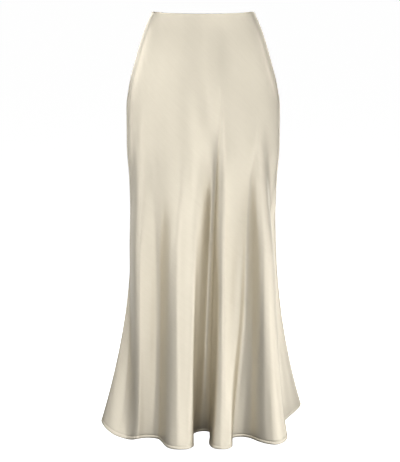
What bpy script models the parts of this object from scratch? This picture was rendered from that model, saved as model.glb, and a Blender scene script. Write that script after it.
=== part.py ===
"""Mermaid fishtail skirt in bias-cut satin, filled out as if worn.

Metres, +Z up. The origin is the centre of the waist opening. The front faces -Y,
and the zip is in the side seam at +X, the wearer's left.

Every point of the cloth has a bearing round the waist (0 at the front, 90 at +X,
180 at the back) and a share of the way from the waist edge down to the hem. The
cloth starts as an oval ring from BODY and is drawn out towards the hem's own
outline from FOLDS, so each fold opens along its own line like the real one.
"""
from math import cos, pi, radians, sin

import bmesh
import bpy
import numpy as np
from mathutils import Matrix, Vector

MM = 0.001

# Cloth
LENGTH = 0.950             # waist edge to hem at the sides
KNEE = -0.52               # height of the knee
KNEE_REACH = 0.10          # a fold stands out at the knee from at least this far above
WAIST_DIP_FRONT = 0.001    # the waist edge is this much lower at centre front
WAIST_DIP_BACK = 0.010     # and this much at centre back
WALL = 0.0012              # the satin
TURNED_WALL = 0.0024       # turned edges, thicker on the inside
WAIST_TURN = 0.009
HEM_TURN = 0.008
TURN_STEP = 0.0006         # height over which a turned edge thins to the wall
SEAM_GAP = 0.0003          # between the panels, and between pieces that touch

# Mesh
BODY_ROWS = 19             # rows between the two turned edges
COLUMNS_PER_FOLD_LINE = 7  # columns from one line of FOLDS to the next
SEAM_COLUMN = 2            # the seams run this many columns behind the flaps

# Zip in the side seam at +X
ZIP_LENGTH = 0.200
TAPE_TOP = 0.003           # below the waist edge
TAPE_WIDTH = 0.012
TAPE_THICK = 0.0010
MOUTH_GAP = 0.0040         # the seam's lips part this far at the waist edge
MOUTH_DEPTH = 0.018        # and close at this depth
HINGE_DEPTH = 0.0068       # the pull tab's hinge below the waist edge
HINGE_OUT = 0.0013         # and outside the cloth
BAIL_HOLE_R = 0.0012
BAIL_R = 0.0021
BAIL_THICK = 0.0012
NECK_HEIGHT = 0.0020
SLIDER_WIDTH = 0.0080
SLIDER_UP = 0.0030         # the slider's body above and below the hinge
SLIDER_DOWN = 0.0085
SLIDER_THICK = 0.0028
PULL_THICK = 0.0010
PULL_LENGTH = 0.0200
PULL_TOP_WIDTH = 0.0054
PULL_END_WIDTH = 0.0070
PULL_BAR_R = 0.0007        # the bar inside the bail
PULL_WINDOW_WIDTH = 0.0026
PULL_WINDOW_END = 0.0042   # the window's far end below the hinge

# The form under the cloth, a row for each height. An oval with its own depth to
# the front and to the back: fitted waist and hips, then straight down.
# height, half width, depth to the front, depth to the back
BODY = [
    (0.000, 0.1120, 0.083, 0.088),
    (-0.040, 0.1300, 0.093, 0.100),
    (-0.106, 0.1505, 0.104, 0.116),
    (-0.159, 0.1640, 0.109, 0.127),
    (-0.212, 0.1710, 0.111, 0.131),
    (-0.293, 0.1712, 0.110, 0.127),
    (-0.375, 0.1665, 0.107, 0.118),
    (-0.456, 0.1652, 0.105, 0.111),
    (-0.538, 0.1660, 0.104, 0.108),
    (-0.960, 0.1660, 0.104, 0.106),
]

# The fold lines, a row for each ridge or valley, round from the left side.
#  name           line of the fold, from the flap at the left, by the front
#  bearing        where the line starts on the waist, degrees
#  x, y           where it meets the hem, mm
#  heading        which way the hem runs there, degrees from +X
#  before, after  how long the hem keeps that way on each side, mm
#  lift           how far the hem is above LENGTH there, mm
#  start          height where the fold begins, m
#  power          1 for a straight fold, more for one that opens late
#  knee           how far the line stands out from the form at the knee, mm
FOLDS = [
    # name, bearing, x, y, heading, before, after, lift, start, power, knee
    ("left flap", -92, -239, -14, -90, 30, 30, 1, -0.55, 1.50, 0),
    ("left tuck", -83, -193, -83, -19, 27, 17, -2.9, -0.50, 2.80, -2),
    ("ridge 1", -53.1, -148, -140, 2, 8, 10, 2.1, -0.25, 1.30, 10),
    ("valley 1", -35.5, -99, -125, -4, 8, 14, -0.9, -0.31, 2.01, -6),
    ("ridge 2", -23.4, -46, -191, 18, 35, 67, -1.8, -0.25, 2.51, 14),
    ("valley 2", 8.7, 1, -79, 4, 36, 40, 5.1, -0.25, 1.59, -17),
    ("ridge 3", 13.6, 32, -158, 5, 33, 40, 0.1, -0.30, 3.14, 6),
    ("valley 3", 33.2, 95, -109, -21, 14, 19, -0.9, -0.26, 3.07, -12),
    ("ridge 4", 50.9, 161, -132, 3, 26, 49, -2.1, -0.29, 2.19, 20),
    ("valley 4", 73.5, 171, -63, 89, 31, 28, 2, -0.43, 2.05, -4),
    ("right flap", 95, 243, 98, 90, 28, 22, 4, -0.55, 1.60, 0),
    ("back valley 1", 114, 168, 122, 155, 26, 18, 2, -0.45, 2.00, -5),
    ("back ridge 1", 130, 152, 194, 170, 30, 26, 2, -0.28, 1.80, 7),
    ("back valley 2", 147, 90, 128, 182, 18, 16, 4, -0.26, 1.80, -7),
    ("back ridge 2", 164, 36, 207, 178, 28, 30, 0, -0.26, 1.80, 8),
    ("back valley 3", 181, -12, 120, 184, 22, 20, 6, -0.24, 1.80, -8),
    ("back ridge 3", 199, -76, 203, 182, 34, 28, 0, -0.25, 1.80, 8),
    ("back valley 4", 218, -126, 128, 184, 16, 16, 4, -0.28, 1.80, -6),
    ("back ridge 4", 236, -190, 158, 212, 28, 26, 3, -0.32, 1.90, 5),
    ("back valley 5", 250, -188, 72, 262, 22, 20, 4, -0.50, 1.70, -4),
]
RIGHT_FLAP = 10            # the right flap's place in FOLDS; the left one is first

# Finishes: colour, roughness, metallic
SATIN = ("champagne_satin", (0.78, 0.71, 0.59), 0.38, 0.0)
TAPE = ("cream_tape", (0.80, 0.75, 0.65), 0.85, 0.0)
ENAMEL = ("cream_enamel", (0.82, 0.77, 0.68), 0.32, 0.4)


def through_rows(table_at, values, at):
    """A smooth line through a table's rows that never overshoots them."""
    gaps = np.diff(table_at)
    steps = np.diff(values) / gaps
    slopes = np.concatenate([steps[:1], np.zeros(len(steps) - 1), steps[-1:]])
    for i in range(1, len(steps)):
        if steps[i - 1] * steps[i] > 0:
            slopes[i] = 2 * steps[i - 1] * steps[i] / (steps[i - 1] + steps[i])
    i = np.clip(np.searchsorted(table_at, at) - 1, 0, len(gaps) - 1)
    t = (at - table_at[i]) / gaps[i]
    ease = t * t * (3 - 2 * t)
    return (values[i] * (1 - ease) + values[i + 1] * ease
            + gaps[i] * (t * (1 - t) ** 2 * slopes[i] - t * t * (1 - t) * slopes[i + 1]))


def body_point(bearing, height):
    """x and y of the form under the cloth."""
    rows = np.array(BODY)[::-1]
    half_width, front, back = (through_rows(rows[:, 0], rows[:, k], height) for k in (1, 2, 3))
    depth = np.where(np.cos(bearing) > 0, front, back)
    return half_width * np.sin(bearing), -depth * np.cos(bearing)


def fold_columns():
    """One dict of arrays for all columns: their bearings, hem points and folds."""
    columns = []
    for this, following in zip(FOLDS, FOLDS[1:] + FOLDS[:1]):
        _, bearing, x, y, heading, _, after, *rest = this
        _, bearing_2, x_2, y_2, heading_2, before, _, *rest_2 = following
        bearing_2 += 360 if bearing_2 < bearing else 0
        start, end = np.array([x, y]), np.array([x_2, y_2])
        leave = start + after * np.array([cos(radians(heading)), sin(radians(heading))])
        arrive = end - before * np.array([cos(radians(heading_2)), sin(radians(heading_2))])
        for t in np.arange(COLUMNS_PER_FOLD_LINE) / COLUMNS_PER_FOLD_LINE:
            hem = ((1 - t) ** 3 * start + 3 * (1 - t) ** 2 * t * leave
                   + 3 * (1 - t) * t * t * arrive + t ** 3 * end)
            ease = t * t * (3 - 2 * t)
            blended = (1 - ease) * np.array(rest) + ease * np.array(rest_2)
            columns.append((radians(bearing + (bearing_2 - bearing) * t), *(hem * MM), *blended))
    names = ("bearing", "hem_x", "hem_y", "lift", "start", "power", "knee")
    return dict(zip(names, np.array(columns).T))


def cloth_points(columns, depths):
    """The outer face: one row for each depth below the waist edge, closed round."""
    facing = np.cos(columns["bearing"])
    waist = -WAIST_DIP_FRONT * np.maximum(facing, 0) ** 2 - WAIST_DIP_BACK * np.maximum(-facing, 0) ** 2
    hem = -LENGTH + columns["lift"] * MM
    share = np.array(depths)[:, None] / LENGTH
    height = waist + (hem - waist) * share
    x, y = body_point(columns["bearing"], height)
    hem_body_x, hem_body_y = body_point(columns["bearing"], hem)
    opened = np.clip((columns["start"] - height) / (columns["start"] - hem), 0, 1) ** columns["power"]
    x += (columns["hem_x"] - hem_body_x) * opened
    y += (columns["hem_y"] - hem_body_y) * opened
    highest = np.maximum(columns["start"], KNEE + KNEE_REACH)
    above = np.clip((highest - height) / (highest - KNEE), 0, 1)
    below = np.clip((height - hem) / (KNEE - hem), 0, 1)
    stand_out = columns["knee"] * MM * above * above * (3 - 2 * above) * below * below * (3 - 2 * below)
    x += stand_out * np.sin(columns["bearing"])
    y -= stand_out * np.cos(columns["bearing"])
    return np.stack([x, y, height], axis=-1)


def unit(vectors):
    return vectors / np.linalg.norm(vectors, axis=-1, keepdims=True)


def directions(points):
    """Unit vectors round the cloth and out of it, at each point of closed rows."""
    across = np.roll(points, -1, axis=1) - np.roll(points, 1, axis=1)
    down = np.gradient(points, axis=0)
    return unit(across), unit(np.cross(down, across))


def row_depths():
    """Depths of the panels' rows: close at the waist, even further down."""
    first = WAIST_TURN + TURN_STEP
    last = LENGTH - HEM_TURN - TURN_STEP
    body = [first + (last - first) * (k / BODY_ROWS) ** 1.25 for k in range(1, BODY_ROWS)]
    return [0, WAIST_TURN, first, MOUTH_DEPTH, *body[1:], last, LENGTH - HEM_TURN, LENGTH]


def wall_thickness(depths):
    """The wall at each row, doubled where an edge is turned in."""
    depths = np.array(depths)
    turned = (depths <= WAIST_TURN) | (depths >= LENGTH - HEM_TURN)
    return np.where(turned, TURNED_WALL, WALL)[:, None, None]


def mouth(depths, half=0.5):
    """How far each lip of the zip's seam stands back from the seam line."""
    open_share = np.clip(1 - np.array(depths) / MOUTH_DEPTH, 0, 1)
    return (half * (SEAM_GAP + (MOUTH_GAP - SEAM_GAP) * open_share))[:, None]


def add_object(name, mesh_builder, finish):
    """An object from a bmesh, with a material of its own."""
    label, colour, roughness, metallic = finish
    mesh = bpy.data.meshes.new(name)
    mesh_builder.to_mesh(mesh)
    mesh_builder.free()
    material = bpy.data.materials.new(f"{name}_{label}")
    material.use_nodes = True
    surface = material.node_tree.nodes["Principled BSDF"]
    surface.inputs["Base Color"].default_value = (*colour, 1)
    surface.inputs["Roughness"].default_value = roughness
    surface.inputs["Metallic"].default_value = metallic
    mesh.materials.append(material)
    mesh.shade_smooth()
    mesh.set_sharp_from_angle(angle=radians(50))
    placed = bpy.data.objects.new(name, mesh)
    bpy.context.collection.objects.link(placed)
    return placed


def closed_wall(name, outer, inner, finish):
    """A closed solid between two grids of points, with its four edges walled."""
    rows, columns = outer.shape[:2]
    shape = bmesh.new()
    outside, inside = ([[shape.verts.new(point) for point in row] for row in grid]
                       for grid in (outer, inner))
    for r in range(rows - 1):
        for c in range(columns - 1):
            shape.faces.new((outside[r][c], outside[r + 1][c], outside[r + 1][c + 1], outside[r][c + 1]))
            shape.faces.new((inside[r][c], inside[r][c + 1], inside[r + 1][c + 1], inside[r + 1][c]))
    for c in range(columns - 1):
        shape.faces.new((outside[0][c], outside[0][c + 1], inside[0][c + 1], inside[0][c]))
        shape.faces.new((outside[-1][c + 1], outside[-1][c], inside[-1][c], inside[-1][c + 1]))
    for r in range(rows - 1):
        shape.faces.new((outside[r + 1][0], outside[r][0], inside[r][0], inside[r + 1][0]))
        shape.faces.new((outside[r][-1], outside[r + 1][-1], inside[r + 1][-1], inside[r][-1]))
    return add_object(name, shape, finish)


def panel(name, columns, depths, first, last, zip_side):
    """The panel between two seam columns; zip_side is its edge with the zip."""
    points = cloth_points(columns, depths)
    across, outward = directions(points)
    picked = np.arange(first, last + 1) % points.shape[1]
    outer, across, outward = points[:, picked], across[:, picked], outward[:, picked]
    for edge, inwards in ((0, 1), (-1, -1)):
        lip = mouth(depths) if edge == zip_side else SEAM_GAP / 2
        outer[:, edge] += inwards * lip * across[:, edge]
    return closed_wall(name, outer, outer - wall_thickness(depths) * outward, SATIN)


def beside_seam(columns, depths, seam, side, into):
    """A strip along the inside of the cloth beside the zip's seam line, as wide as
    the tape. side is -1 on the front panel and 1 on the back one."""
    points = cloth_points(columns, depths)
    across, outward = directions(points)
    inner = points - (wall_thickness(depths) + into) * outward
    reach = [(seam + side * k) % points.shape[1] for k in range(5)]
    grid = []
    for row, lip in zip(inner[:, reach], mouth(depths)[:, 0]):
        along = np.concatenate([[0], np.cumsum(np.linalg.norm(np.diff(row, axis=0), axis=1))])
        at = [lip, TAPE_WIDTH / 3, TAPE_WIDTH * 2 / 3, TAPE_WIDTH]
        grid.append(np.stack([np.interp(at, along, row[:, axis]) for axis in range(3)], axis=1))
    grid = np.array(grid)
    return grid if side > 0 else grid[:, ::-1]


def rows_from_to(grid, depths, top, bottom):
    """The grid's rows between two depths, with the end rows cut straight across."""
    wanted = [top, *[d for d in depths if top < d < bottom], bottom]
    flat = grid.reshape(len(depths), -1)
    cut = np.stack([np.interp(wanted, depths, values) for values in flat.T], axis=1)
    return cut.reshape(len(wanted), *grid.shape[1:])


def zip_tape(name, columns, depths, seam, side):
    """One half of the zip's tape, flat along the inside of its panel."""
    faces = [rows_from_to(beside_seam(columns, depths, seam, side, into), depths, TAPE_TOP, ZIP_LENGTH)
             for into in (SEAM_GAP, SEAM_GAP + TAPE_THICK)]
    return closed_wall(name, *faces, TAPE)


def hinge_frame(columns, seam):
    """The pull tab's hinge: X along its axis, Y up the seam, Z out of the cloth."""
    points = cloth_points(columns, [0, HINGE_DEPTH, 2 * HINGE_DEPTH])
    across, outward = directions(points)
    x_axis = Vector(across[1, seam])
    z_axis = Vector(outward[1, seam])
    y_axis = z_axis.cross(x_axis)
    place = Vector(points[1, seam]) + HINGE_OUT * z_axis
    turn = Matrix((x_axis, y_axis, z_axis)).transposed()
    return place, turn.to_quaternion()


def place_on_hinge(piece, frame):
    piece.location, turn = frame
    piece.rotation_mode = "QUATERNION"
    piece.rotation_quaternion = turn


def circle(radius, sides, start=0.0, end=2 * pi):
    """Points round an arc; a whole circle doesn't repeat its first point."""
    steps = sides if end - start > 6.28 else sides - 1
    return [(radius * cos(a), radius * sin(a))
            for a in (start + (end - start) * k / steps for k in range(sides))]


def ring_prism(outline, hole, low, high, stand):
    """A prism with a hole, from two loops of as many points each; stand maps
    (a, b, height) to a point."""
    shape = bmesh.new()
    loops = [[shape.verts.new(stand(a, b, h)) for a, b in loop]
             for loop, h in ((outline, low), (outline, high), (hole, high), (hole, low))]
    count = len(outline)
    for here, there in zip(loops, loops[1:] + loops[:1]):
        for k in range(count):
            shape.faces.new((here[k], here[(k + 1) % count], there[(k + 1) % count], there[k]))
    bmesh.ops.recalc_face_normals(shape, faces=shape.faces[:])
    return shape


def block(x_range, y_range, z_range):
    """A plain box between three pairs of limits."""
    shape = bmesh.new()
    bmesh.ops.create_cube(shape, size=1)
    for corner in shape.verts:
        corner.co = [low + (high - low) * (value + 0.5)
                     for value, (low, high) in zip(corner.co, (x_range, y_range, z_range))]
    return shape


def join_to(piece, shape, frame):
    """Unite a hidden solid with a piece."""
    part = add_object(f"{piece.name}_joined_{len(piece.modifiers)}", shape, ENAMEL)
    part.hide_render = True
    part.display_type = "WIRE"
    place_on_hinge(part, frame)
    union = piece.modifiers.new("union", "BOOLEAN")
    union.operation = "UNION"
    union.object = part


def zip_slider(frame):
    """The slider: a body behind the tapes, a neck through the seam, and its bail."""
    behind_tapes = -(HINGE_OUT + TURNED_WALL + TAPE_THICK + 2 * SEAM_GAP)
    shape = block((-SLIDER_WIDTH / 2, SLIDER_WIDTH / 2), (-SLIDER_DOWN, SLIDER_UP),
                  (behind_tapes - SLIDER_THICK, behind_tapes))
    upright = [e for e in shape.edges if abs((e.verts[0].co - e.verts[1].co).z) > SLIDER_THICK / 2]
    bmesh.ops.bevel(shape, geom=upright, offset=0.0022, segments=3, affect="EDGES")
    slider = add_object("zip_slider", shape, ENAMEL)
    place_on_hinge(slider, frame)
    half = BAIL_THICK / 2
    bail = ring_prism(circle(BAIL_R, 20), circle(BAIL_HOLE_R, 20), -half, half,
                      lambda a, b, h: (h, a, b))
    join_to(slider, bail, frame)
    inset = 0.0001
    neck = block((-half + inset, half - inset), (-NECK_HEIGHT / 2, NECK_HEIGHT / 2),
                 (behind_tapes - SLIDER_THICK / 2, -(BAIL_R + BAIL_HOLE_R) / 2))
    join_to(slider, neck, frame)
    return slider


def zip_pull(frame):
    """The teardrop pull tab: its top bar runs through the bail."""
    end_r = PULL_END_WIDTH / 2
    top_r = PULL_TOP_WIDTH / 2
    end_y = -(PULL_LENGTH - end_r)
    sides = 12
    end_arc = [(x, end_y + y) for x, y in circle(end_r, sides, -pi, 0)]
    top_arc = [(x, y * PULL_BAR_R / top_r) for x, y in circle(top_r, sides, 0, pi)]
    wide = PULL_WINDOW_WIDTH / 2
    middle = (PULL_WINDOW_END + PULL_BAR_R) / 2
    reach = (PULL_WINDOW_END - PULL_BAR_R) / 2
    square = 0.35          # below 1, an oval's corners fill out
    window = [(wide * np.sign(x) * abs(x) ** square, -middle + reach * np.sign(y) * abs(y) ** square)
              for x, y in circle(1, 2 * sides, -pi, pi)]
    shape = ring_prism(end_arc + top_arc, window, -PULL_THICK / 2, PULL_THICK / 2,
                       lambda a, b, h: (a, b, h))
    pull = add_object("zip_pull", shape, ENAMEL)
    place_on_hinge(pull, frame)
    return pull


for old in list(bpy.data.objects):
    bpy.data.objects.remove(old, do_unlink=True)

COLUMNS = fold_columns()
DEPTHS = row_depths()
TOTAL = len(COLUMNS["bearing"])
RIGHT_SEAM = RIGHT_FLAP * COLUMNS_PER_FOLD_LINE + SEAM_COLUMN
LEFT_SEAM = TOTAL - SEAM_COLUMN

panel("front_panel", COLUMNS, DEPTHS, LEFT_SEAM - TOTAL, RIGHT_SEAM, zip_side=-1)
panel("back_panel", COLUMNS, DEPTHS, RIGHT_SEAM, LEFT_SEAM, zip_side=0)
zip_tape("zip_tape_front", COLUMNS, DEPTHS, RIGHT_SEAM, -1)
zip_tape("zip_tape_back", COLUMNS, DEPTHS, RIGHT_SEAM, 1)
HINGE = hinge_frame(COLUMNS, RIGHT_SEAM)
zip_slider(HINGE)
zip_pull(HINGE)
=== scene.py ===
"""Looks for the mermaid fishtail skirt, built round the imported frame."""
from math import cos, pi, radians, sin

import bmesh
import bpy
import numpy as np
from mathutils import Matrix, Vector


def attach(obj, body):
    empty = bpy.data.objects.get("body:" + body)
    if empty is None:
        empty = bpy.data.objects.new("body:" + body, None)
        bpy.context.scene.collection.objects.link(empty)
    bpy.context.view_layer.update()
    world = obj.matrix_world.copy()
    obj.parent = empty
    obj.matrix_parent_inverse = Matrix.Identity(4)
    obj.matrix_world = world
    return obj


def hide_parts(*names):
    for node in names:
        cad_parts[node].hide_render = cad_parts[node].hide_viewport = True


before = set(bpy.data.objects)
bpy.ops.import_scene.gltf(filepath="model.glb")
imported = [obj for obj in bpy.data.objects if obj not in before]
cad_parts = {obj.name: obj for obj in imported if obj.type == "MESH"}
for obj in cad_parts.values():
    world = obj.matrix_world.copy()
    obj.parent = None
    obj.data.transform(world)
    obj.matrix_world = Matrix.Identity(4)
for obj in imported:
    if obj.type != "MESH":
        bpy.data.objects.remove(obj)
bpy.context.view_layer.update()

# Camera: it stands a little above the waist and looks slightly down, with a long
# lens, so the waist edge is almost a straight line and the hem shows its depth.
LOOKING_DOWN = 12.39       # degrees
camera = bpy.data.objects.new("camera", bpy.data.cameras.new("camera"))
camera.data.lens = 94.4
camera.data.sensor_width = 36
camera.location = (-0.0067, -2.7, 0.10)
camera.rotation_euler = (radians(90 - LOOKING_DOWN), 0, 0)
bpy.context.scene.collection.objects.link(camera)
bpy.context.scene.camera = camera

# Satin: one length of champagne satin cut on the bias, so its threads run at 45
# degrees. Its face has long shiny floats; its reverse is duller. The same form
# lies under both panels: an oval body drawn out to the hem along the fold lines.
MM = 0.001
LENGTH = 0.950             # waist edge to hem at the sides
KNEE = -0.52               # height of the knee
KNEE_REACH = 0.10          # a fold stands out at the knee from at least this far above
WAIST_DIP_FRONT = 0.001
WAIST_DIP_BACK = 0.010
# height, half width, depth to the front, depth to the back
BODY = [
    (0.000, 0.1120, 0.083, 0.088),
    (-0.040, 0.1300, 0.093, 0.100),
    (-0.106, 0.1505, 0.104, 0.116),
    (-0.159, 0.1640, 0.109, 0.127),
    (-0.212, 0.1710, 0.111, 0.131),
    (-0.293, 0.1712, 0.110, 0.127),
    (-0.375, 0.1665, 0.107, 0.118),
    (-0.456, 0.1652, 0.105, 0.111),
    (-0.538, 0.1660, 0.104, 0.108),
    (-0.960, 0.1660, 0.104, 0.106),
]
# The fold lines, a row for each ridge or valley, round from the left side. Most of
# the front's numbers come from a fit, and the back's were set one by one.
#  name           line of the fold, from the flap at the left, by the front
#  bearing        where the line starts on the waist, degrees
#  x, y           where it meets the hem, mm
#  heading        which way the hem runs there, degrees from +X
#  before, after  how long the hem keeps that way on each side, mm
#  lift           how far the hem is above LENGTH there, mm
#  start          height where the fold begins, m
#  power          1 for a straight fold, more for one that opens late
#  knee           how far the line stands out from the form at the knee, mm
FOLDS = [
    # name, bearing, x, y, heading, before, after, lift, start, power, knee
    ("left flap", -92, -237.9, -27.6, -81, 30, 30, 8.1, -0.56, 1.60, 1.8),
    ("left tuck", -85.8, -187.4, -108.5, -36, 34, 32, -0.3, -0.49, 3.58, 1.6),
    ("ridge 1", -50.7, -144.7, -137.3, 22, 16, 25, 8.2, -0.16, 1.61, 11.3),
    ("valley 1", -35.8, -103.3, -136, -40, 15, 25, 6, -0.25, 1.92, -2.1),
    ("ridge 2", -18.5, -36.8, -185.8, 9, 58, 37, 2.9, -0.29, 2.63, 21.6),
    ("valley 2", 12.1, 8.9, -73.7, -6, 65, 28, 0.8, -0.13, 1.61, -16.2),
    ("ridge 3", 17.2, 45.8, -163.3, 2, 63, 46, -6.6, -0.31, 3.84, -8),
    ("valley 3", 37.6, 89.3, -102, -1, 50, 19, -1.2, -0.26, 2.86, -9),
    ("ridge 4", 45, 170.9, -129, 31, 32, 47, -8.8, -0.20, 2.23, 26.8),
    ("valley 4", 73.5, 188.3, -41.1, 75, 40, 48, 8.9, -0.37, 2.18, -13.7),
    ("right flap", 95, 233.5, 107.1, 125, 39, 22, 8.8, -0.50, 1.76, 1.8),
    ("back valley 1", 114, 168, 122, 155, 26, 18, 2, -0.45, 2.00, -5),
    ("back ridge 1", 130, 152, 194, 170, 30, 26, 2, -0.28, 1.80, 7),
    ("back valley 2", 147, 90, 128, 182, 18, 16, 4, -0.26, 1.80, -7),
    ("back ridge 2", 164, 36, 207, 178, 28, 30, 0, -0.26, 1.80, 8),
    ("back valley 3", 181, -12, 120, 184, 22, 20, 6, -0.24, 1.80, -8),
    ("back ridge 3", 199, -76, 203, 182, 34, 28, 0, -0.25, 1.80, 8),
    ("back valley 4", 218, -126, 128, 184, 16, 16, 4, -0.28, 1.80, -6),
    ("back ridge 4", 236, -190, 158, 212, 28, 26, 3, -0.32, 1.90, 5),
    ("back valley 5", 250, -188, 72, 262, 22, 20, 4, -0.50, 1.70, -4),
]
SOFTENED = 0.05            # how far each fold line is softened, in fold lines
STEP_DOWN = 0.0006         # half steps that give the cloth's directions: m down it,
STEP_ROUND = 0.004         # and fold lines round it
RIGHT_SEAM = 10 + 2 / 7    # the seams' places, counted in fold lines
LEFT_SEAM = -2 / 7


def through_rows(table_at, values, at):
    """A smooth line through a table's rows that never overshoots them."""
    gaps = np.diff(table_at)
    steps = np.diff(values) / gaps
    slopes = np.concatenate([steps[:1], np.zeros(len(steps) - 1), steps[-1:]])
    for i in range(1, len(steps)):
        if steps[i - 1] * steps[i] > 0:
            slopes[i] = 2 * steps[i - 1] * steps[i] / (steps[i - 1] + steps[i])
    i = np.clip(np.searchsorted(table_at, at) - 1, 0, len(gaps) - 1)
    t = (at - table_at[i]) / gaps[i]
    ease = t * t * (3 - 2 * t)
    return (values[i] * (1 - ease) + values[i + 1] * ease
            + gaps[i] * (t * (1 - t) ** 2 * slopes[i] - t * t * (1 - t) * slopes[i + 1]))


def body_point(bearing, height):
    """x and y of the form under the cloth."""
    rows = np.array(BODY)[::-1]
    half_width, front, back = (through_rows(rows[:, 0], rows[:, k], height) for k in (1, 2, 3))
    depth = np.where(np.cos(bearing) > 0, front, back)
    return half_width * np.sin(bearing), -depth * np.cos(bearing)


def smooth(t):
    """From 0 to 1 as t does, level at both ends."""
    t = np.clip(t, 0, 1)
    return t * t * (3 - 2 * t)


def hem_curve(t, start, leave, arrive, end):
    """The hem between two fold lines: a cubic curve through start and end."""
    return MM * ((1 - t) ** 3 * start + 3 * (1 - t) ** 2 * t * leave
                 + 3 * (1 - t) * t * t * arrive + t ** 3 * end)


def pleated(places, depths):
    """Points of the form. A place counts fold lines round the waist: 3.25 is a
    quarter of the way from line 3 to line 4. A depth is measured down the cloth."""
    table = np.array([line[1:] for line in FOLDS], float).T
    line = np.floor(places).astype(int)
    turn, row = np.divmod(line, len(FOLDS))
    next_turn, next_row = np.divmod(line + 1, len(FOLDS))
    bearing, x, y, heading, _, after, *rest = table[:, row]
    next_bearing, next_x, next_y, next_heading, before, _, *next_rest = table[:, next_row]
    t = places - line
    bearing = np.radians((1 - t) * (bearing + 360 * turn) + t * (next_bearing + 360 * next_turn))
    heading, next_heading = np.radians(heading), np.radians(next_heading)
    hem_x = hem_curve(t, x, x + after * np.cos(heading),
                      next_x - before * np.cos(next_heading), next_x)
    hem_y = hem_curve(t, y, y + after * np.sin(heading),
                      next_y - before * np.sin(next_heading), next_y)
    ease = smooth(t)
    lift, start, power, knee = ((1 - ease) * a + ease * b for a, b in zip(rest, next_rest))
    facing = np.cos(bearing)
    waist = (-WAIST_DIP_FRONT * np.maximum(facing, 0) ** 2
             - WAIST_DIP_BACK * np.maximum(-facing, 0) ** 2)
    bottom = -LENGTH + lift * MM
    height = waist + (bottom - waist) * depths / LENGTH
    body_x, body_y = body_point(bearing, height)
    hem_body_x, hem_body_y = body_point(bearing, bottom)
    opened = np.clip((start - height) / (start - bottom), 0, 1) ** power
    highest = np.maximum(start, KNEE + KNEE_REACH)
    stand_out = (knee * MM * smooth((highest - height) / (highest - KNEE))
                 * smooth((height - bottom) / (KNEE - bottom)))
    return np.stack([body_x + (hem_x - hem_body_x) * opened + stand_out * np.sin(bearing),
                     body_y + (hem_y - hem_body_y) * opened - stand_out * np.cos(bearing),
                     height], axis=-1)


def cloth(places, depths):
    """Points of the face: the form, softened across its fold lines."""
    return sum(share * pleated(places + step * SOFTENED, depths)
               for step, share in ((-2, 1 / 16), (-1, 1 / 4), (0, 3 / 8), (1, 1 / 4), (2, 1 / 16)))


def unit(vectors):
    return vectors / np.linalg.norm(vectors, axis=-1, keepdims=True)


def cloth_frame(places, depths):
    """Points of the face, and the unit vectors down it and out of it."""
    low, high = np.minimum(depths + STEP_DOWN, LENGTH), np.maximum(depths - STEP_DOWN, 0)
    down = unit(cloth(places, low) - cloth(places, high))
    across = cloth(places + STEP_ROUND, depths) - cloth(places - STEP_ROUND, depths)
    return cloth(places, depths), down, unit(np.cross(down, across))


class Value:
    """One value in a material; + and * on it add Math nodes."""

    def __init__(self, finish, socket):
        self.finish, self.socket = finish, socket

    def maths(self, operation, *others):
        return self.finish.node("ShaderNodeMath", {"operation": operation},
                                dict(enumerate((self, *others))))

    def __add__(self, other):
        return self.maths("ADD", other)

    def __mul__(self, other):
        return self.maths("MULTIPLY", other)

    __radd__, __rmul__ = __add__, __mul__


class Finish:
    """A material with one Principled surface, whose sockets take values or links."""

    def __init__(self, name, **settled):
        self.material = bpy.data.materials.new(name)
        self.material.use_nodes = True
        self.tree = self.material.node_tree
        self.surface = self.tree.nodes["Principled BSDF"]
        self.wear({name.replace("_", " "): value for name, value in settled.items()})

    def wear(self, values):
        for name, value in values.items():
            self.put(self.surface.inputs[name], value)

    def put(self, socket, value):
        if isinstance(value, Value):
            self.tree.links.new(value.socket, socket)
        else:
            socket.default_value = value

    def node(self, kind, settings, values, out=0):
        made = self.tree.nodes.new(kind)
        for name, setting in settings.items():
            setattr(made, name, setting)
        for name, value in values.items():
            self.put(made.inputs[name], value)
        return Value(self, made.outputs[out])

    def object_place(self):
        """Object coordinates, in metres."""
        return self.node("ShaderNodeTexCoord", {}, {}, out=3)

    def noise(self, at, detail=2.0):
        return self.node("ShaderNodeTexNoise", {"noise_dimensions": "3D"},
                         {"Vector": at, "Scale": 1.0, "Detail": detail})

    def stretched(self, at, turn, scale):
        """Coordinates turned about their third axis, then scaled."""
        turned = self.node("ShaderNodeMapping", {"vector_type": "POINT"},
                           {"Vector": at, "Rotation": (0, 0, turn)})
        return self.node("ShaderNodeVectorMath", {"operation": "MULTIPLY"}, {0: turned, 1: scale})

    def axis(self, at, number):
        return self.node("ShaderNodeSeparateXYZ", {}, {"Vector": at}, out=number)

    def mixed(self, share, first, second):
        """A colour between two, each given as red, green and blue."""
        return self.node("ShaderNodeMix", {"data_type": "RGBA"},
                         {"Factor": share, 6: (*first, 1), 7: (*second, 1)}, out=2)

    def bump(self, height, distance):
        return self.node("ShaderNodeBump", {},
                         {"Height": height, "Distance": distance, "Strength": 1.0})


THREAD_PITCH = 0.0011
BIAS = radians(45)         # the warp's turn from straight down
# how many to the metre: across the warp, along it
STREAKS = (700, 28, 1)
SLUBS = (160, 9, 1)
CLOUDS = (11, 7, 1)        # soft patches, level with the waist


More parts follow.
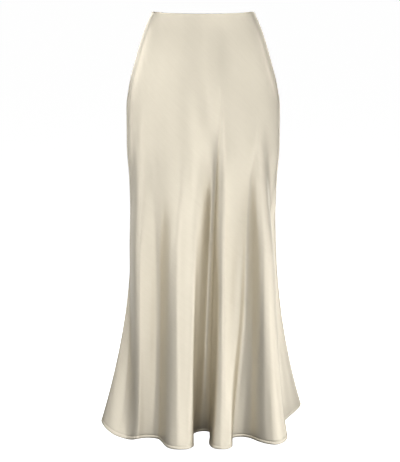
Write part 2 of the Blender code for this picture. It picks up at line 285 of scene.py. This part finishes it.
def satin(name, light, dark, roughness, metallic, thread_depth):
    """Satin on the cloth's own coordinates, in metres, with the warp on the bias."""
    finish = Finish(name, Metallic=metallic)
    flat = finish.node("ShaderNodeUVMap", {"uv_map": "cloth"}, {})
    streaks = finish.noise(finish.stretched(flat, BIAS, STREAKS), 3.0)
    slubs = finish.noise(finish.stretched(flat, BIAS, SLUBS))
    clouds = finish.noise(finish.stretched(flat, 0, CLOUDS))
    warp = finish.axis(finish.stretched(flat, BIAS, (1, 1, 1)), 0)
    ribs = (warp * (2 * pi / THREAD_PITCH)).maths("SINE")
    tone = streaks * 0.45 + slubs * 0.30 + clouds * 0.25
    finish.wear({
        "Base Color": finish.mixed(tone, dark, light),
        "Roughness": roughness - 0.05 + tone * 0.10,
        "Normal": finish.bump(ribs * 0.25 + streaks * 0.6 + slubs * 0.8, thread_depth),
    })
    return finish.material


SATIN_FACE = satin("champagne_satin_face", (0.82, 0.775, 0.68), (0.74, 0.695, 0.60),
                   0.45, 0.70, 0.00004)
SATIN_REVERSE = satin("champagne_satin_reverse", (0.80, 0.74, 0.63), (0.73, 0.67, 0.55),
                      0.58, 0.1, 0.00005)

# Front and back panels: the two cut pieces of the skirt. Their waist and hem edges
# are turned in and so are double, and their side edges roll in where they are sewn.
WALL = 0.0008
THINNEST = 0.0004          # the least wall where an edge rolls in
TURNED = 0.0018            # a turned edge: two layers and the air between them
WAIST_TURN = 0.009
HEM_TURN = 0.008
HEM_STITCH = 0.0066        # the hem's stitch line above the edge
PANEL_COLUMNS = 250
PANEL_ROWS = 150
MOUTH_GAP = 0.0040         # the zip's seam parts this far at the waist edge
MOUTH_DEPTH = 0.018
SEAM_GAP = 0.0003
# how the cloth rolls in at a seam: distances from it and depths there
SEAM_ROLL = [(0.0, 0.00070), (0.00015, 0.00036), (0.0004, 0.00012), (0.0009, 0.0)]
EDGE_COLUMNS = 9           # columns that close up towards a seam
EDGE_ROWS = 5              # rows round a turned edge
FLAT_MIDDLE = 0.7          # where a panel's middle is on the cloth's own coordinates
GROOVE, GROOVE_REACH = 0.00035, 0.0011     # the cloth pulled in at the hem's stitches
ROLL, ROLL_REACH = 0.00030, 0.002          # and the fold that stands out below them
PUCKER_DOWN, PUCKER_ROUND = 0.010, 0.009   # reach of a pucker
CREASE_STARTS, CREASE_ENDS = 0.35, 0.45    # shares of a crease that rise and die out

# Creases: soft troughs and ridges on the form, uneven in length, depth and spacing.
# The front's were fitted numerically and a few of them changed after it. The
# back's, from place 11 on, were placed one by one.
#  place, place_2  where it starts and ends, in fold lines
#  depth, depth_2  how far down the cloth it starts and ends, m
#  width           half width of the crease, mm
#  height          how far it stands out, or in if negative, mm
CREASES = [
    # place, place_2, depth, depth_2, width, height
    (1.21, 0.96, 0.34, 1.20, 9.7, 1.3),
    (2.00, 1.88, 0.29, 1.16, 10, 0.9),
    (2.87, 3.00, 0.36, 1.19, 9, -4.6),
    (4.12, 3.77, 0.19, 1.11, 13.7, 5.9),
    (4.94, 4.92, 0.25, 1.02, 9, -8),
    (5.82, 6.03, 0.30, 1.16, 10.1, 2.1),
    (7.30, 6.39, 0.37, 1.25, 9, -4.2),
    (8.01, 7.72, 0.28, 1.18, 11.7, -3.3),
    (8.98, 9.09, 0.29, 1.15, 12.4, -3),
    (2.23, 2.73, 0.38, 1.10, 23.8, -4.4),
    (3.74, 3.73, 0.33, 1.18, 13.5, 2.1),
    (4.45, 4.17, 0.35, 1.18, 10.6, 4.4),
    (5.00, 5.34, 0.36, 1.14, 9, 3.8),
    (6.82, 5.82, 0.38, 1.15, 13.8, -4.4),
    (7.37, 7.22, 0.40, 1.21, 10.2, -2.9),
    (8.36, 8.41, 0.35, 1.14, 9.9, 3.3),
    (9.43, 9.33, 0.36, 1.15, 10.5, -0.5),
    (5.08, 5.84, 0.16, 0.68, 18.7, 7.8),
    (4.28, 5.00, 0.08, 0.51, 21.9, -3.6),
    (7.78, 7.73, 0.22, 0.88, 18.1, 8),
    (2.39, 2.54, 0.54, 1.12, 10.3, 1.8),
    (3.20, 3.29, 0.49, 1.10, 14.4, -2.3),
    (3.80, 3.92, 0.40, 1.08, 9.8, 0.4),
    (4.61, 4.58, 0.36, 1.10, 11.6, 2.4),
    (5.60, 5.66, 0.16, 0.92, 10.1, 0.3),
    (5.92, 6.14, 0.19, 0.80, 10.5, -0.6),
    (6.96, 7.02, 0.25, 0.98, 13.7, 0.4),
    (8.21, 8.22, 0.30, 1.02, 14.5, 0.4),
    (3.01, 3.24, 0.10, 0.57, 24.3, -1.7),
    (6.39, 6.58, 0.10, 0.45, 24.4, -1.1),
    (9.11, 9.05, 0.09, 0.48, 22.4, 2.6),
    (11.15, 11.05, 0.42, 1.15, 9, -1.6),
    (11.90, 12.05, 0.30, 1.20, 12, 2.1),
    (12.55, 12.42, 0.36, 1.16, 10, -1.8),
    (13.05, 13.00, 0.31, 1.14, 9, -2.4),
    (13.62, 13.55, 0.40, 1.18, 11, 1.2),
    (14.05, 14.20, 0.27, 1.20, 14, 2.6),
    (14.60, 14.45, 0.38, 1.12, 9, -2.2),
    (15.02, 15.06, 0.24, 1.15, 11, -2.9),
    (15.50, 15.58, 0.43, 1.16, 8, 1.0),
    (15.95, 16.10, 0.29, 1.18, 15, 2.3),
    (16.48, 16.40, 0.37, 1.14, 10, -2.0),
    (17.00, 16.95, 0.33, 1.20, 12, -2.7),
    (17.55, 17.62, 0.41, 1.16, 9, 0.9),
    (18.10, 17.95, 0.30, 1.15, 13, 2.0),
    (18.70, 18.85, 0.45, 1.18, 10, -1.5),
    (13.30, 14.10, 0.12, 0.56, 20, 1.9),
    (15.60, 15.20, 0.09, 0.48, 22, -1.6),
    (16.90, 16.45, 0.17, 0.66, 18, 1.7),
]
# Puckers along the side seams: depth of each, m, and how far it stands out, mm
PUCKERS = [
    (0.031, 0.30), (0.052, -0.25), (0.083, 0.35), (0.104, -0.30), (0.139, 0.30),
    (0.170, -0.35), (0.196, 0.25), (0.241, -0.30), (0.275, 0.35), (0.322, -0.25),
    (0.358, 0.30), (0.411, -0.35), (0.455, 0.25), (0.503, -0.30), (0.546, 0.35),
    (0.602, -0.30), (0.655, 0.35), (0.700, -0.35), (0.752, 0.40), (0.797, -0.35),
    (0.845, 0.35), (0.893, -0.30),
]


def along_rows(points):
    """Metres along each row of a grid of points."""
    steps = np.linalg.norm(np.diff(points, axis=1), axis=2)
    return np.pad(np.cumsum(steps, axis=1), ((0, 0), (1, 0)))


def read_rows(wanted, table_at, values):
    """Each row of values, read at that row's wanted places in table_at."""
    return np.array([np.interp(*row) for row in zip(wanted, table_at, values)])


def panel_depths():
    """Depths of the rows: close at the two turned edges, even between them."""
    top = [0.0009, 0.002, 0.0035, 0.0055, 0.0075, 0.0088, 0.0100, 0.0125]
    stitch = LENGTH - HEM_STITCH
    bottom = [LENGTH - 0.0130, LENGTH - 0.0105, LENGTH - 0.0086, stitch - 0.0008, stitch,
              stitch + 0.0008, LENGTH - 0.0045, LENGTH - 0.0028, LENGTH - 0.0009]
    middle = np.linspace(top[-1], bottom[0], PANEL_ROWS - len(top) - len(bottom) + 2)[1:-1]
    return np.array([*top, *middle, *bottom])


def hem_relief(depths):
    """The hem stands out a little below its stitch line, which pulls the cloth in."""
    below_stitch = depths - (LENGTH - HEM_STITCH)
    return (ROLL * smooth(below_stitch / ROLL_REACH)
            - GROOVE * np.exp(-(below_stitch / GROOVE_REACH) ** 2))


def crease_relief(places, depths, points):
    """How far the creases lift the face at a grid of its points. A crease that leaves
    a panel at a seam is carried on past it, so it meets its other part there."""
    along = along_rows(points)
    first, last = places[:, :1], places[:, -1:]
    middle, half_turn = (first + last) / 2, len(FOLDS) / 2
    k = EDGE_COLUMNS
    first_pace = along[:, k - 1:k] / (places[:, k - 1:k] - first)
    last_pace = (along[:, -1:] - along[:, -k:1 - k]) / (last - places[:, -k:1 - k])
    relief = np.zeros(places.shape)
    for place, place_2, depth, depth_2, width, height in CREASES:
        t = np.clip((depths - depth) / (depth_2 - depth), 0, 1)
        centre = place + (place_2 - place) * t
        centre = (centre - middle + half_turn) % (2 * half_turn) - half_turn + middle
        centre_at = (read_rows(centre, places, along) + last_pace * np.maximum(centre - last, 0)
                     + first_pace * np.minimum(centre - first, 0))
        fade = smooth(t / CREASE_STARTS) * smooth((1 - t) / CREASE_ENDS)
        relief += height * MM * fade * np.exp(-((along - centre_at) / (width * MM)) ** 2)
    return relief


def pucker_relief(from_seam, depths):
    """How far the seams' puckers lift the face."""
    down = sum(height * MM * np.exp(-((depths - depth) / PUCKER_DOWN) ** 2)
               for depth, height in PUCKERS)
    return down * np.exp(-(from_seam / PUCKER_ROUND) ** 2)


def panel_grid(first, last, zip_edge):
    """Depths, places, metres round and whole width of a panel's rows. The zip's edge,
    0 or -1, is the one whose lips part at the waist."""
    depths = panel_depths()[:, None]
    base = np.broadcast_to(np.linspace(first, last, PANEL_COLUMNS), (len(depths), PANEL_COLUMNS))
    along = along_rows(cloth(base, depths))
    width = along[:, -1:]
    parting = np.clip(1 - depths / MOUTH_DEPTH, 0, 1)
    lips = {0: SEAM_GAP / 2, -1: SEAM_GAP / 2}
    lips[zip_edge] = (SEAM_GAP + (MOUTH_GAP - SEAM_GAP) * parting) / 2
    roll = np.array([[distance for distance, _ in SEAM_ROLL]])
    k = EDGE_COLUMNS
    edges = []
    for lip, from_seam in ((lips[0], along), (lips[-1], (width - along)[:, ::-1])):
        rolled = lip + roll + 0 * width
        nearest = rolled[:, -1:]
        closing = nearest + from_seam[:, 1:k] * (1 - nearest / from_seam[:, k:k + 1])
        edges.append(np.concatenate([rolled, closing], axis=1))
    at = np.concatenate([edges[0], along[:, k:-k], width - edges[1][:, ::-1]], axis=1)
    return depths, read_rows(at, along, base), at, width


def turned_edge(face, reverse, onward):
    """Rows round an edge, from the face to the reverse; onward points off the edge."""
    half = (face - reverse) / 2
    radius = np.linalg.norm(half, axis=-1, keepdims=True)
    return [(face + reverse) / 2 + cos(turn) * half + sin(turn) * radius * onward
            for turn in (pi * k / (EDGE_ROWS + 1) for k in range(1, EDGE_ROWS + 1))]


def shell_faces(n, columns):
    """Faces of a closed loop of rows, n on the face, the hem's edge, n on the reverse
    and the waist's edge, with both ends closed; and which ones are the reverse."""
    count = 2 * (n + EDGE_ROWS)
    corners = np.arange(count * columns).reshape(count, columns)
    below = np.roll(corners, -1, axis=0)
    faces = np.stack([corners[:, :-1], below[:, :-1], below[:, 1:], corners[:, 1:]],
                     axis=-1).reshape(-1, 4).tolist()
    inner = [n + EDGE_ROWS <= row < 2 * n + EDGE_ROWS - 1
             for row in range(count) for _ in range(columns - 1)]
    for column in (0, -1):
        loop = corners[:, column].tolist()
        back = loop[::-1][EDGE_ROWS:EDGE_ROWS + n]
        faces += [(loop[k], loop[k + 1], back[k + 1], back[k]) for k in range(n - 1)]
        faces += [(*loop[n - 1:n + EDGE_ROWS], back[-1]), (back[0], *loop[-EDGE_ROWS:], loop[0])]
        inner += [False] * (n + 1)
    return faces, inner


def turn_outwards(mesh, sharp_angle):
    """Turns a mesh's faces outwards and shades it smooth up to an angle in degrees."""
    shape = bmesh.new()
    shape.from_mesh(mesh)
    bmesh.ops.recalc_face_normals(shape, faces=shape.faces[:])
    shape.to_mesh(mesh)
    shape.free()
    mesh.shade_smooth()
    mesh.set_sharp_from_angle(angle=radians(sharp_angle))


def panel(name, first, last, zip_edge):
    """A panel as a closed shell of its face, its reverse and their turned edges."""
    depths, places, at, width = panel_grid(first, last, zip_edge)
    points, down, out = cloth_frame(places, depths)
    points = points + crease_relief(places, depths, points)[..., None] * out
    inset = np.zeros(places.shape)
    rolled = [deep for _, deep in SEAM_ROLL]
    inset[:, :len(rolled)] = rolled
    inset[:, -len(rolled):] = rolled[::-1]
    inset -= hem_relief(depths) + pucker_relief(np.minimum(at, width - at), depths)
    wall = np.where((depths <= WAIST_TURN) | (depths >= LENGTH - HEM_TURN), TURNED, WALL)
    face = points - inset[..., None] * out
    reverse = points - np.maximum(wall, inset + THINNEST)[..., None] * out
    rows = [*face, *turned_edge(face[-1], reverse[-1], down[-1]),
            *reverse[::-1], *turned_edge(face[0], reverse[0], -down[0])[::-1]]
    faces, inner = shell_faces(*places.shape)
    mesh = bpy.data.meshes.new(name)
    mesh.from_pydata(np.concatenate(rows).tolist(), [], faces)
    mesh.materials.append(SATIN_FACE)
    mesh.materials.append(SATIN_REVERSE)
    mesh.polygons.foreach_set("material_index", np.array(inner, np.int32))
    round_it = at - width / 2 + FLAT_MIDDLE
    round_it = np.concatenate([round_it, [round_it[-1]] * EDGE_ROWS,
                               round_it[::-1], [round_it[0]] * EDGE_ROWS])
    down_it = np.concatenate([depths, [[LENGTH]] * EDGE_ROWS, depths[::-1], [[0]] * EDGE_ROWS])
    on_cloth = np.stack(np.broadcast_arrays(round_it, down_it), axis=-1).reshape(-1, 2)
    corner_vertices = np.empty(len(mesh.loops), np.int32)
    mesh.loops.foreach_get("vertex_index", corner_vertices)
    mesh.uv_layers.new(name="cloth").data.foreach_set("uv", on_cloth[corner_vertices].ravel())
    turn_outwards(mesh, sharp_angle=70)
    placed = bpy.data.objects.new(name, mesh)
    bpy.context.scene.collection.objects.link(placed)
    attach(placed, "skirt")
    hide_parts(name.replace("_satin", "_panel"))


panel("front_satin", LEFT_SEAM, RIGHT_SEAM, -1)
panel("back_satin", RIGHT_SEAM, LEFT_SEAM + len(FOLDS), 0)

# Stitches: fine cream sewing thread. One row runs round the hem and holds its turn;
# it shows on the face as short humps that sit in a shallow groove.
THREAD = 0.00042
STITCH_SIZE = (0.0024, THREAD, THREAD)
STITCH_SPACING = 0.0030
STITCH_SUNK = 0.0003       # how far a stitch sits in the cloth
FUZZ = (2600, 2600, 2600)  # how many to the metre
WAIST_STITCH = 0.0075      # the waist's stitch line below the edge
LINE_POINTS = 900
SEAM_CLEAR = 0.012         # a row of stitches stops this far from a seam, in fold lines
PANEL_SPANS = [(LEFT_SEAM + SEAM_CLEAR, RIGHT_SEAM - SEAM_CLEAR),
               (RIGHT_SEAM + SEAM_CLEAR, LEFT_SEAM + len(FOLDS) - SEAM_CLEAR)]
FINE_THREAD = Finish("cream_thread", Roughness=0.6)
spun = FINE_THREAD.noise(FINE_THREAD.stretched(FINE_THREAD.object_place(), 0, FUZZ), 1.0)
FINE_THREAD.wear({"Base Color": FINE_THREAD.mixed(spun, (0.70, 0.64, 0.52), (0.82, 0.76, 0.64)),
                  "Normal": FINE_THREAD.bump(spun, 0.00005)})


def beads_along_path():
    """A tree that sets equal beads along a path: X along it, Z out of the cloth."""
    tree = bpy.data.node_groups.new("beads_along_path", "GeometryNodeTree")
    for label, kind in (("Path", "NodeSocketGeometry"), ("Spacing", "NodeSocketFloat"),
                        ("Bead Size", "NodeSocketVector"), ("Finish", "NodeSocketMaterial")):
        tree.interface.new_socket(label, in_out="INPUT", socket_type=kind)
    tree.interface.new_socket("Beads", in_out="OUTPUT", socket_type="NodeSocketGeometry")

    def step(kind, settings, values):
        made = tree.nodes.new(kind)
        for label, setting in settings.items():
            setattr(made, label, setting)
        for label, value in values.items():
            if isinstance(value, bpy.types.NodeSocket):
                tree.links.new(value, made.inputs[label])
            else:
                made.inputs[label].default_value = value
        return made.outputs

    given = step("NodeGroupInput", {}, {})
    curve = step("GeometryNodeMeshToCurve", {}, {"Mesh": given["Path"]})
    stations = step("GeometryNodeResampleCurve", {"mode": "LENGTH"},
                    {"Curve": curve["Curve"], "Length": given["Spacing"]})
    bead = step("GeometryNodeMeshUVSphere", {}, {"Segments": 8, "Rings": 4, "Radius": 0.5})
    sized = step("GeometryNodeTransform", {},
                 {"Geometry": bead["Mesh"], "Scale": given["Bead Size"]})
    rounded = step("GeometryNodeSetShadeSmooth", {}, {"Geometry": sized["Geometry"]})
    tangent = step("GeometryNodeInputTangent", {}, {})
    facing = step("GeometryNodeInputNamedAttribute", {"data_type": "FLOAT_VECTOR"},
                  {"Name": "facing"})
    along = step("FunctionNodeAlignRotationToVector", {"axis": "X"},
                 {"Vector": tangent["Tangent"]})
    outward = step("FunctionNodeAlignRotationToVector", {"axis": "Z", "pivot_axis": "X"},
                   {"Rotation": along["Rotation"], "Vector": facing["Attribute"]})
    placed = step("GeometryNodeInstanceOnPoints", {},
                  {"Points": stations["Curve"], "Instance": rounded["Geometry"],
                   "Rotation": outward["Rotation"]})
    whole = step("GeometryNodeRealizeInstances", {}, {"Geometry": placed["Instances"]})
    coloured = step("GeometryNodeSetMaterial", {},
                    {"Geometry": whole["Geometry"], "Material": given["Finish"]})
    step("NodeGroupOutput", {}, {"Beads": coloured["Geometry"]})
    return tree


BEADS = beads_along_path()


def beads(name, paths, spacing, size, finish):
    """Beads along some paths, each a pair of points and facings, as one plain mesh."""
    mesh = bpy.data.meshes.new(f"{name}_path")
    edges, offset = [], 0
    for points, _ in paths:
        edges += [(offset + k, offset + k + 1) for k in range(len(points) - 1)]
        offset += len(points)
    mesh.from_pydata(np.concatenate([points for points, _ in paths]).tolist(), edges, [])
    facing = mesh.attributes.new("facing", "FLOAT_VECTOR", "POINT")
    facings = np.concatenate([out for _, out in paths]).astype(np.float32)
    facing.data.foreach_set("vector", facings.ravel())
    path = bpy.data.objects.new(f"{name}_path", mesh)
    bpy.context.scene.collection.objects.link(path)
    grow = path.modifiers.new("beads", "NODES")
    grow.node_group = BEADS
    named = {item.name: item.identifier for item in BEADS.interface.items_tree
             if item.in_out == "INPUT"}
    grow[named["Spacing"]] = spacing
    grow[named["Bead Size"]] = size
    grow[named["Finish"]] = finish
    evaluated = path.evaluated_get(bpy.context.evaluated_depsgraph_get())
    plain = bpy.data.meshes.new_from_object(evaluated)
    bpy.data.objects.remove(path)
    plain.name = name
    placed = bpy.data.objects.new(name, plain)
    bpy.context.scene.collection.objects.link(placed)
    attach(placed, "skirt")


def stitch_line(depth, inset):
    """A level line round both panels, with its facings; inset is how far inside the
    face it lies."""
    lines = []
    for first, last in PANEL_SPANS:
        places, depths = np.linspace(first, last, LINE_POINTS)[None, :], np.array([[depth]])
        points, _, out = cloth_frame(places, depths)
        lift = crease_relief(places, depths, points) - inset
        lines.append(((points + lift[..., None] * out)[0], out[0]))
    return lines


for name, depth, inset in (("hem_stitches", LENGTH - HEM_STITCH, STITCH_SUNK),
                           ("hem_stitches_inside", LENGTH - HEM_STITCH, TURNED + STITCH_SUNK),
                           ("waist_stitches_inside", WAIST_STITCH, TURNED)):
    beads(name, stitch_line(depth, inset), STITCH_SPACING, STITCH_SIZE,
          FINE_THREAD.material)

# Seam allowances: the panels' edges inside the side seams, pressed open flat and
# overlocked along their free edges. On the zip's side they begin below the zip.
ALLOWANCE_ACROSS = [0.0004, 0.0035, 0.007, 0.010]    # its columns' distances from the seam
ALLOWANCE_THICK = 0.0005
ALLOWANCE_GAP = 0.0002     # the air between it and the panel
ALLOWANCE_ROWS = 110
ALLOWANCE_CLOUDS = (300, 300, 60)      # soft patches, how many to the metre
OVERLOCK_SIZE = (0.0006, 0.0034, 0.0005)
OVERLOCK_SPACING = 0.0022
STRIP_REACH = 0.9          # how far round from the seam a strip is measured, in fold lines
STRIP_POINTS = 60
ZIP_LENGTH = 0.200
# just clear of the turned waist, the zip and the turned hem
LEFT_TOP = WAIST_TURN + 0.0005
RIGHT_TOP = ZIP_LENGTH + 0.004
ALLOWANCE_BOTTOM = LENGTH - HEM_TURN - 0.0008


def inside_strip(seam, side, depths, across, inset, thick):
    """A strip inside the cloth beside a seam: grids of the points next to the cloth and
    of those beyond them, and their facings. Across lists the distances from the seam."""
    depths = depths[:, None]
    base = np.broadcast_to(seam + side * np.linspace(0, STRIP_REACH, STRIP_POINTS),
                           (len(depths), STRIP_POINTS))
    places = read_rows([across] * len(depths), along_rows(cloth(base, depths)), base)
    points, _, out = cloth_frame(places, depths)
    return points - inset * out, points - (inset + thick) * out, out


def strip_piece(name, strips, material):
    """Strips, each closed all round, as one piece."""
    shape = bmesh.new()
    for near, far, _ in strips:
        rows, columns = near.shape[:2]
        a, b = ([[shape.verts.new(point) for point in row] for row in grid]
                for grid in (near, far))
        for r in range(rows - 1):
            for c in range(columns - 1):
                for side in (a, b):
                    shape.faces.new((side[r][c], side[r + 1][c],
                                     side[r + 1][c + 1], side[r][c + 1]))
        rim = [(r, 0) for r in range(rows)]
        rim += [(rows - 1, c) for c in range(1, columns)]
        rim += [(r, columns - 1) for r in range(rows - 2, -1, -1)]
        rim += [(0, c) for c in range(columns - 2, 0, -1)]
        for (r, c), (r2, c2) in zip(rim, rim[1:] + rim[:1]):
            shape.faces.new((a[r][c], a[r2][c2], b[r2][c2], b[r][c]))
    mesh = bpy.data.meshes.new(name)
    shape.to_mesh(mesh)
    shape.free()
    mesh.materials.append(material)
    turn_outwards(mesh, sharp_angle=50)
    placed = bpy.data.objects.new(name, mesh)
    bpy.context.scene.collection.objects.link(placed)
    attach(placed, "skirt")


PLAIN_SATIN = Finish("champagne_satin_turning", Roughness=0.6)
at = PLAIN_SATIN.object_place()
cloudy = PLAIN_SATIN.noise(PLAIN_SATIN.stretched(at, 0, ALLOWANCE_CLOUDS), 3.0)
PLAIN_SATIN.wear({"Base Color": PLAIN_SATIN.mixed(cloudy, (0.70, 0.64, 0.53), (0.78, 0.72, 0.61)),
                  "Normal": PLAIN_SATIN.bump(cloudy, 0.0001)})
for label, seam, top in (("left", LEFT_SEAM, LEFT_TOP), ("right", RIGHT_SEAM, RIGHT_TOP)):
    depths = np.linspace(top, ALLOWANCE_BOTTOM, ALLOWANCE_ROWS)
    strips = [inside_strip(seam, side, depths, ALLOWANCE_ACROSS, WALL + ALLOWANCE_GAP,
                           ALLOWANCE_THICK) for side in (-1, 1)]
    strip_piece(f"{label}_seam_allowances", strips, PLAIN_SATIN.material)
    beads(f"{label}_overlock", [(far[:, -1], out[:, -1]) for _, far, out in strips],
          OVERLOCK_SPACING, OVERLOCK_SIZE, FINE_THREAD.material)

# Zip tapes: narrow woven polyester tapes in the side seam, one on each allowance,
# each sewn down along its middle and carrying half of the zip's coil.
TAPE_RIB = 0.0009          # the weave's ribs, from one to the next
TAPE_YARN = (1200, 1200, 500)      # how many to the metre
TAPE_INSET = 0.0012 + 0.0003 + 0.0010      # panel, gap and tape
# the stitches: distance from the seam, how far they stand off the tape, their depths
TAPE_STITCHES = 0.0062
TAPE_STITCHES_OFF = 0.0001
TAPE_STITCHES_SPAN = (0.012, ZIP_LENGTH - 0.004)
TAPE = Finish("woven_tape", Roughness=0.82)
at = TAPE.object_place()
ribs = (TAPE.axis(at, 2) * (2 * pi / TAPE_RIB)).maths("SINE")
yarn = TAPE.noise(TAPE.stretched(at, 0, TAPE_YARN))
TAPE.wear({"Base Color": TAPE.mixed(yarn * 0.7 + ribs * 0.15 + 0.15,
                                    (0.66, 0.60, 0.50), (0.80, 0.75, 0.65)),
           "Normal": TAPE.bump(ribs * 0.5 + yarn, 0.00008)})
for node in ("zip_tape_front", "zip_tape_back"):
    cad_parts[node].data.materials[0] = TAPE.material
tape_depths = np.linspace(*TAPE_STITCHES_SPAN, 90)
rows = [inside_strip(RIGHT_SEAM, side, tape_depths, [TAPE_STITCHES], TAPE_INSET,
                     TAPE_STITCHES_OFF) for side in (-1, 1)]
beads("zip_tape_stitches", [(far[:, 0], out[:, 0]) for _, far, out in rows],
      STITCH_SPACING, STITCH_SIZE, FINE_THREAD.material)

# Zip coil: a nylon coil sewn along the tapes' edges and meeting in the seam. It is
# closed from the bottom stop up to the slider, with the stop clamped round both.
COIL_SIZE = (0.00082, 0.0042, 0.0012)      # of one turn: along the seam, across, through
COIL_PITCH = 0.00095
COIL_SUNK = 0.0001         # how far its turns press into the tapes
COIL_SPAN = (0.0165, ZIP_LENGTH - 0.006)   # depths, from the slider to the bottom stop
COIL_WEAR = (900, 900, 900)        # how many to the metre
COIL = Finish("nylon_coil")
worn = COIL.noise(COIL.stretched(COIL.object_place(), 0, COIL_WEAR))
COIL.wear({"Base Color": COIL.mixed(worn, (0.74, 0.69, 0.58), (0.84, 0.79, 0.69)),
           "Roughness": worn * 0.2 + 0.3})
coil_depths = np.linspace(*COIL_SPAN, 160)[:, None]
coil_points, _, coil_out = cloth_frame(np.full(coil_depths.shape, RIGHT_SEAM), coil_depths)
coil_points = coil_points - (TAPE_INSET + COIL_SIZE[2] / 2 - COIL_SUNK) * coil_out
beads("zip_coil", [(coil_points[:, 0], coil_out[:, 0])],
      COIL_PITCH, COIL_SIZE, COIL.material)

# Bottom stop: a small clamp of sheet metal, enamelled cream. It is pressed round the
# end of the coil, so the slider can't run off it.
STOP_SIZE = (0.0054, 0.0044, 0.0022)       # across the seam, along it, through
STOP_ROUNDED = 0.0007
STOP_DEPTH = ZIP_LENGTH - 0.0055
ENAMEL_WEAR = (420, 420, 420)      # how many to the metre
ENAMEL = Finish("cream_enamel", Metallic=0.35)
worn = ENAMEL.noise(ENAMEL.stretched(ENAMEL.object_place(), 0, ENAMEL_WEAR), 3.0)
ENAMEL.wear({"Base Color": ENAMEL.mixed(worn, (0.74, 0.69, 0.59), (0.85, 0.80, 0.71)),
             "Roughness": worn * 0.22 + 0.22,
             "Normal": ENAMEL.bump(worn, 0.00006)})
stop_point, stop_down, stop_out = (
    grid[0, 0] for grid in cloth_frame(np.array([[RIGHT_SEAM]]), np.array([[STOP_DEPTH]])))
stop_across = np.cross(stop_down, stop_out)
centre = stop_point - (TAPE_INSET + COIL_SIZE[2] / 2) * stop_out
shape = bmesh.new()
bmesh.ops.create_cube(shape, size=1)
for corner in shape.verts:
    x, y, z = (value * size for value, size in zip(corner.co, STOP_SIZE))
    corner.co = centre + x * stop_across + y * stop_down + z * stop_out
bmesh.ops.bevel(shape, geom=shape.edges[:], offset=STOP_ROUNDED, segments=3, affect="EDGES")
bmesh.ops.recalc_face_normals(shape, faces=shape.faces[:])
stop_mesh = bpy.data.meshes.new("zip_bottom_stop")
shape.to_mesh(stop_mesh)
shape.free()
stop_mesh.materials.append(ENAMEL.material)
stop_mesh.shade_smooth()
stop = bpy.data.objects.new("zip_bottom_stop", stop_mesh)
bpy.context.scene.collection.objects.link(stop)
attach(stop, "skirt")

# Slider and pull tab: die-cast zinc, enamelled cream to match the satin. The slider
# is behind the tapes; its bail comes out through the seam and holds the tab.
for node in ("zip_slider", "zip_pull"):
    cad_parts[node].data.materials[0] = ENAMEL.material

# Stage: a plain pale floor that glows, and neither lights nor shades the skirt, rings
# of soft lights, and a white studio behind. None of it belongs to the skirt.
FLOOR_HEIGHT, FLOOR_REACH = -1.05, 90
FLOOR_GLOW = 0.995
floor_mesh = bpy.data.meshes.new("floor")
floor_mesh.from_pydata([(x * FLOOR_REACH, y * FLOOR_REACH, FLOOR_HEIGHT)
                        for x, y in ((-1, -1), (1, -1), (1, 1), (-1, 1))], [], [(0, 1, 2, 3)])
floor = bpy.data.objects.new("floor", floor_mesh)
bpy.context.scene.collection.objects.link(floor)
FLOOR = Finish("pale_floor", Base_Color=(0.5, 0.5, 0.5, 1), Roughness=0.9,
               Specular_IOR_Level=0.0, Emission_Color=(1, 1, 1, 1), Emission_Strength=FLOOR_GLOW)
floor_mesh.materials.append(FLOOR.material)
floor.visible_diffuse = floor.visible_glossy = floor.visible_shadow = False

SOFTBOX_SIZE = 0.5
SOFTBOX_RING = 1.3         # radius of the rings
SOFTBOX_AIMS = (-0.9, -0.1)    # each aims at the skirt's axis, at its own height in these
BEARINGS = (-150, -110, -80, -55, -30, 0, 20, 40, 60, 80, 110, 150, 180)
# height of the ring, then each softbox's power, W, mostly from a fit
RINGS = [
    (-1.0, 0.8, 0.7, 0.3, 0.3, 0.3, 0.3, 1.5, 0.9, 1.7, 1.5, 2.0, 1.9, 1.0),
    (-0.5, 0.9, 1.2, 1.4, 1.3, 1.6, 1.4, 1.3, 0.7, 0.6, 1.1, 0.9, 1.7, 1.5),
    (0.1, 2.2, 2.1, 1.3, 1.4, 1.4, 1.4, 0.3, 1.2, 0.9, 1.1, 1.4, 1.4, 1.8),
    (1.0, 1.9, 4.0, 2.5, 2.1, 2.4, 2.4, 2.0, 2.3, 1.1, 2.3, 4.0, 1.7, 2.2),
]
for height, *powers in RINGS:
    for bearing, power in zip(BEARINGS, powers):
        box = bpy.data.lights.new(f"softbox_{bearing}_{height}", "AREA")
        box.size = SOFTBOX_SIZE
        box.energy = power
        lamp = bpy.data.objects.new(box.name, box)
        lamp.location = (SOFTBOX_RING * sin(radians(bearing)),
                         -SOFTBOX_RING * cos(radians(bearing)), height)
        aim = Vector((0, 0, np.clip(height, *SOFTBOX_AIMS))) - lamp.location
        lamp.rotation_euler = aim.to_track_quat("-Z", "Y").to_euler()
        lamp.visible_camera = False
        bpy.context.scene.collection.objects.link(lamp)

# The studio behind is white to the camera and gives no light.
sky = bpy.data.worlds.new("studio")
bpy.context.scene.world = sky
sky.use_nodes = True
backdrop = sky.node_tree.nodes["Background"]
backdrop.inputs["Color"].default_value = (1, 1, 1, 1)
seen = sky.node_tree.nodes.new("ShaderNodeLightPath")
sky.node_tree.links.new(seen.outputs["Is Camera Ray"], backdrop.inputs["Strength"])
bpy.context.scene.view_settings.view_transform = "Standard"
bpy.context.scene.view_settings.gamma = 0.7
